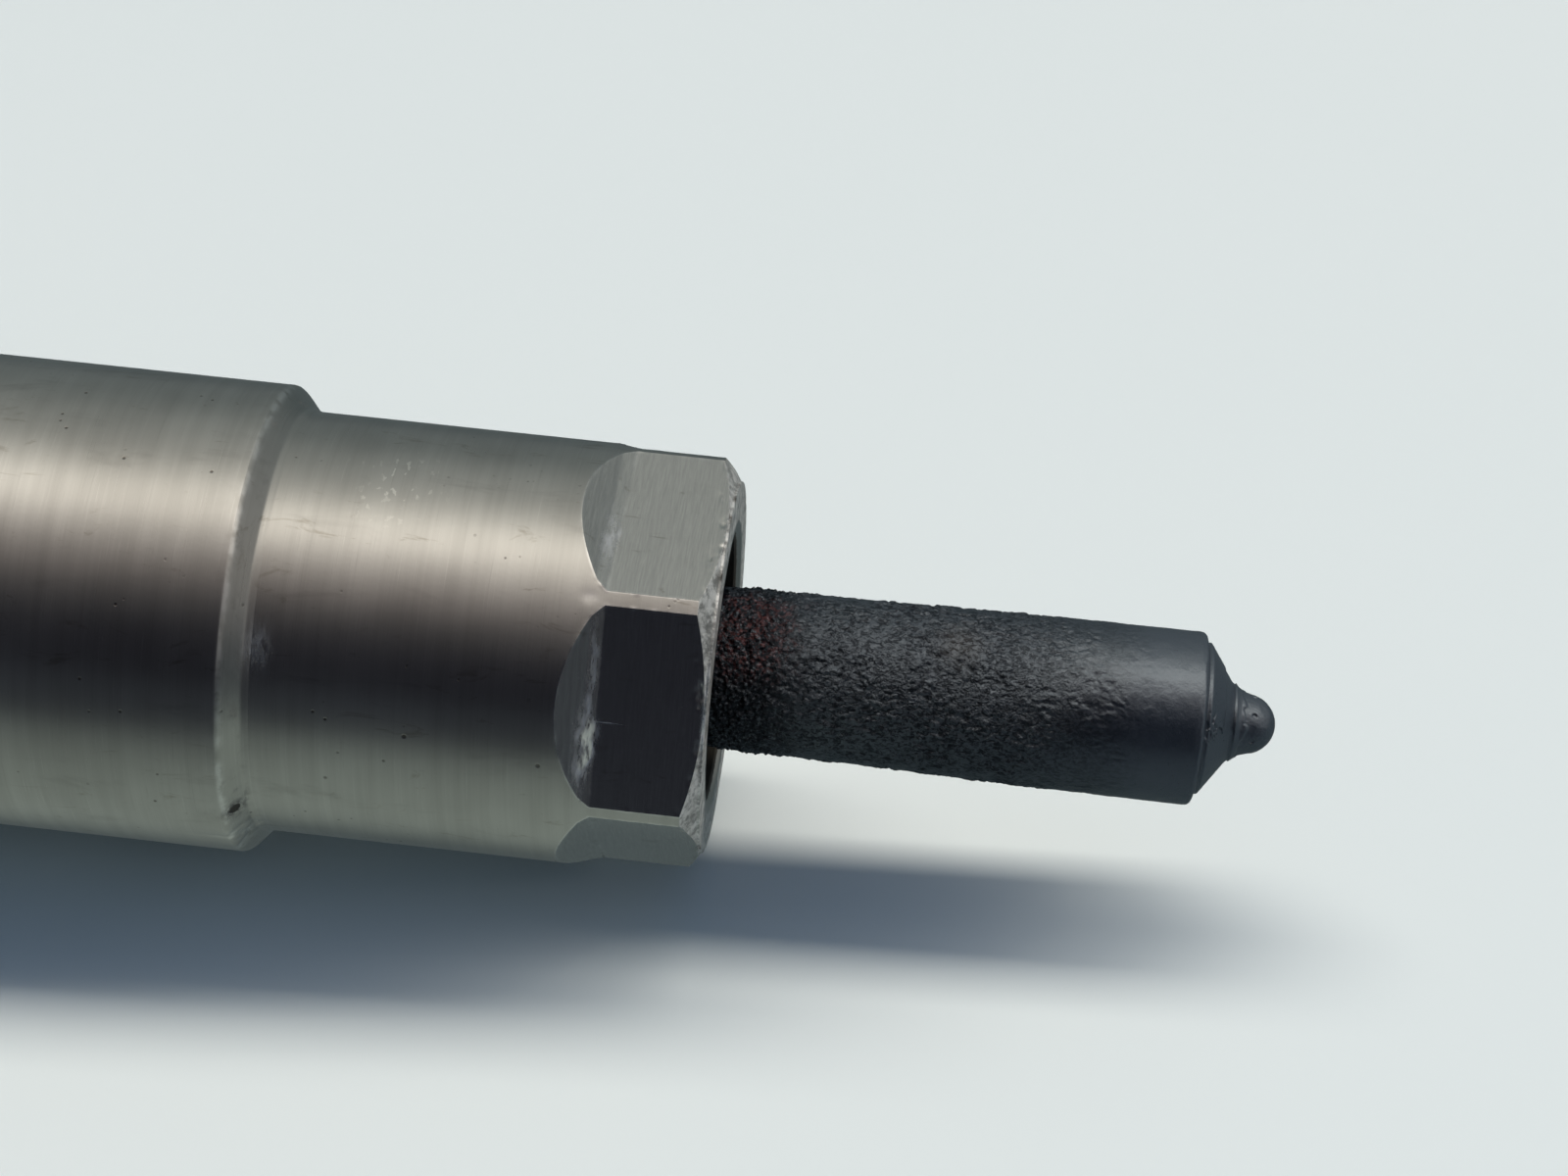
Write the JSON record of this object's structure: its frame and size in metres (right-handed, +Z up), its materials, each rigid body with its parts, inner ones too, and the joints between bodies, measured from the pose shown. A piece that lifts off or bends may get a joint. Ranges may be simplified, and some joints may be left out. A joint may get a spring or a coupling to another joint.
{
  "type": "diesel fuel injector",
  "caption": "Common-rail diesel fuel injector lying on its side: sooted nozzle tip in a stepped nut with spanner flats, long steel body, side inlet, solenoid head and plug socket.",
  "frame": {"origin": "on the bench under the middle of the lying injector's bounding box", "axes": "+X along the injector towards the nozzle tip, +Z up, -Y the near side"},
  "size_m": [0.2032, 0.0312, 0.0486],
  "materials": {
    "nut_steel": "turned and milled steel, satin, worn",
    "nozzle_steel": "hardened steel under a carbon crust",
    "ground_steel": "ground steel",
    "spring_steel": "oil-tempered spring wire",
    "body_steel": "plated forged steel",
    "soft_iron": "soft magnetic iron",
    "copper_winding": "enamelled copper",
    "tinned_brass": "tinned brass",
    "rubber": "moulded rubber",
    "black_plastic": "glass-filled plastic, fine texture",
    "bobbin_plastic": "natural plastic"
  },
  "bodies": {
    "injector": {"nozzle_nut": "nut_steel", "nozzle_body": "nozzle_steel", "spacer_plate": "ground_steel", "dowel_pin_1": "ground_steel", "dowel_pin_2": "ground_steel", "nozzle_spring": "spring_steel", "spring_shim": "ground_steel", "injector_body": "body_steel", "body_o_ring": "rubber", "valve_body": "ground_steel", "valve_seal_ring": "tinned_brass", "valve_clamp_nut": "ground_steel", "armature_guide": "soft_iron", "armature_spring": "spring_steel", "lift_shim": "ground_steel", "magnet_core": "soft_iron", "coil_bobbin": "bobbin_plastic", "coil_winding": "copper_winding", "valve_spring": "spring_steel", "valve_spring_shim": "ground_steel", "solenoid_sleeve": "body_steel", "solenoid_nut": "nut_steel", "solenoid_o_ring": "rubber", "connector_housing": "black_plastic", "terminal_pin_1": "tinned_brass", "terminal_pin_2": "tinned_brass", "return_nipple": "tinned_brass", "inlet_fitting": "body_steel", "edge_filter": "ground_steel"},
    "piston": {"control_piston": "ground_steel"},
    "needle": {"nozzle_needle": "ground_steel", "spring_seat": "ground_steel"},
    "armature": {"armature_plate": "soft_iron"},
    "valve_pin": {"armature_pin": "ground_steel", "armature_clip": "spring_steel"},
    "valve_ball": {"valve_ball": "ground_steel", "ball_carrier": "ground_steel"}
  },
  "joints": [
    {"name": "piston_lift", "type": "slide", "parent": "injector", "child": "piston", "axis": [-1, 0, 0], "range_m": [0, 0.00025], "stiffness_N_per_m": 500, "springref_m": -0.004},
    {"name": "needle_lift", "type": "slide", "parent": "injector", "child": "needle", "axis": [-1, 0, 0], "range_m": [0, 0.00025], "deforming": ["nozzle_spring"]},
    {"name": "armature_lift", "type": "slide", "parent": "injector", "child": "armature", "axis": [-1, 0, 0], "range_m": [0, 0.00006], "stiffness_N_per_m": 200, "springref_m": -0.004, "deforming": ["armature_spring"]},
    {"name": "valve_pin_lift", "type": "slide", "parent": "injector", "child": "valve_pin", "axis": [-1, 0, 0], "range_m": [0, 0.00006], "deforming": ["valve_spring"]},
    {"name": "ball_lift", "type": "slide", "parent": "injector", "child": "valve_ball", "axis": [-1, 0, 0], "range_m": [0, 0.00006]}
  ],
  "couplings": [
    {"joint": "needle_lift", "follows": "piston_lift", "ratio": 1},
    {"joint": "valve_pin_lift", "follows": "armature_lift", "ratio": 1},
    {"joint": "ball_lift", "follows": "armature_lift", "ratio": 1}
  ]
}
